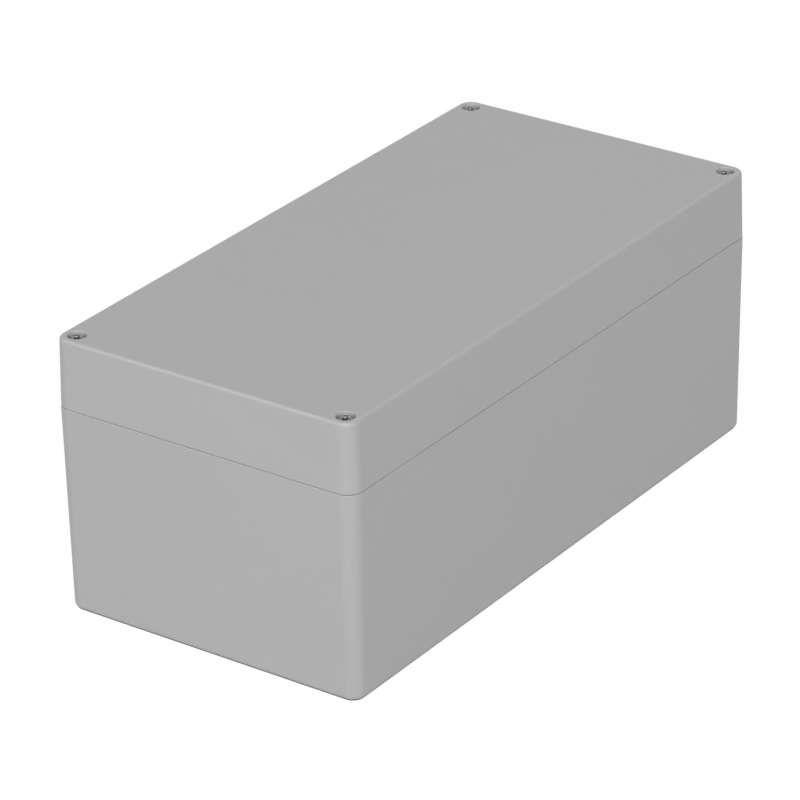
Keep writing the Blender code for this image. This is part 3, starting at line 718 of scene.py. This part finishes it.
bm = bmesh.new()
bmesh.ops.create_grid(bm, x_segments=8, y_segments=8, size=FLOOR_SIZE)
floor = solid("studio_floor", bm)
paper = bpy.data.materials.new("white_studio_floor")
paper.use_nodes = True
tree = paper.node_tree
tree.nodes.remove(tree.nodes["Principled BSDF"])
dim = add(tree, "ShaderNodeBsdfDiffuse", {"Color": linear("3F3F3F")})
# Painted contact shadow: the glow's strength falls with ambient occlusion close to the base.
open_sky = add(tree, "ShaderNodeAmbientOcclusion", {"Distance": CONTACT_REACH}, samples=16).outputs["AO"]
span = {"Value": open_sky, "From Min": 0.25, "From Max": 0.60, "To Max": 0.967}
strength = add(tree, "ShaderNodeMapRange", span)
glow = add(tree, "ShaderNodeEmission", {"Color": WHITE, "Strength": strength.outputs[0]})
lit = add(tree, "ShaderNodeAddShader", {0: dim.outputs[0], 1: glow.outputs[0]})
matte = add(tree, "ShaderNodeBsdfDiffuse", {"Color": linear("B6B6B6")})
shown = lifted(tree, matte.outputs[0], lit.outputs[0])
tree.links.new(shown, tree.nodes["Material Output"].inputs["Surface"])
floor.data.materials.append(paper)

room = bpy.data.worlds.new("white_room")
room.use_nodes = True
tree = room.node_tree
soft = add(tree, "ShaderNodeBackground", {"Color": WHITE, "Strength": 0.210})
bright = add(tree, "ShaderNodeBackground", {"Color": WHITE, "Strength": 1.0})
shown = lifted(tree, soft.outputs[0], bright.outputs[0])
tree.links.new(shown, tree.nodes["World Output"].inputs["Surface"])
bpy.context.scene.world = room


def softbox(name, azimuth, elevation, size, power, in_gloss=True, in_matte=True):
    """A square area lamp that looks at the enclosure. Azimuth 0 stands before the -Y side."""
    a, e = math.radians(azimuth), math.radians(elevation)
    away = Vector((math.sin(a) * math.cos(e), -math.cos(a) * math.cos(e), math.sin(e)))
    lamp = bpy.data.lights.new(name, "AREA")
    lamp.shape = "SQUARE"
    lamp.size = size
    lamp.energy = power
    holder = bpy.data.objects.new(name, lamp)
    holder.location = LAMP_AIM + away * LAMP_DISTANCE
    holder.rotation_euler = away.to_track_quat("Z", "Y").to_euler()
    holder.visible_glossy = in_gloss
    holder.visible_diffuse = in_matte
    bpy.context.scene.collection.objects.link(holder)


# The key light stays out of the gloss, so that the lid doesn't glare from behind. A lamp
# higher up shows in the gloss alone, on the rounded edges.
softbox("key_softbox", -51.9, 25.4, 2.2, 123.5, in_gloss=False)
softbox("gloss_softbox", -54.0, 54.0, 1.8, 60.0, in_matte=False)
softbox("end_edge_softbox", -139.0, 47.0, 1.8, 31.0)
softbox("side_edge_softbox", 94.0, 40.0, 1.8, 12.0)


# The camera stands at the photograph's angle, a long lens about 1.5 m away with a slight
# roll of the frame.
CAMERA_AZIMUTH = math.radians(-54.4288)
CAMERA_ELEVATION = math.radians(26.4168)
CAMERA_ROLL = -0.0204
CAMERA_DISTANCE = 1.5007
CAMERA_ASIDE = (-0.004848, -0.02826)
AIM_HEIGHT = 0.075
FOCAL_PIXELS = 4419.93
FRAME_PIXELS = 800
SENSOR = 36.0
back = Vector((
    math.sin(CAMERA_AZIMUTH) * math.cos(CAMERA_ELEVATION),
    -math.cos(CAMERA_AZIMUTH) * math.cos(CAMERA_ELEVATION),
    math.sin(CAMERA_ELEVATION),
))
level = Vector((math.cos(CAMERA_AZIMUTH), math.sin(CAMERA_AZIMUTH), 0.0))
upright = back.cross(level)
right = math.cos(CAMERA_ROLL) * level + math.sin(CAMERA_ROLL) * upright
up = -math.sin(CAMERA_ROLL) * level + math.cos(CAMERA_ROLL) * upright
camera = bpy.data.objects.new("camera", bpy.data.cameras.new("camera"))
camera.data.sensor_width = SENSOR
camera.data.lens = FOCAL_PIXELS / FRAME_PIXELS * SENSOR
camera.matrix_world = Matrix((right, up, back)).transposed().to_4x4()
camera.location = right * CAMERA_ASIDE[0] + up * CAMERA_ASIDE[1] + back * CAMERA_DISTANCE
camera.location.z += AIM_HEIGHT
bpy.context.scene.collection.objects.link(camera)
bpy.context.scene.camera = camera
bpy.context.scene.view_settings.view_transform = "Standard"
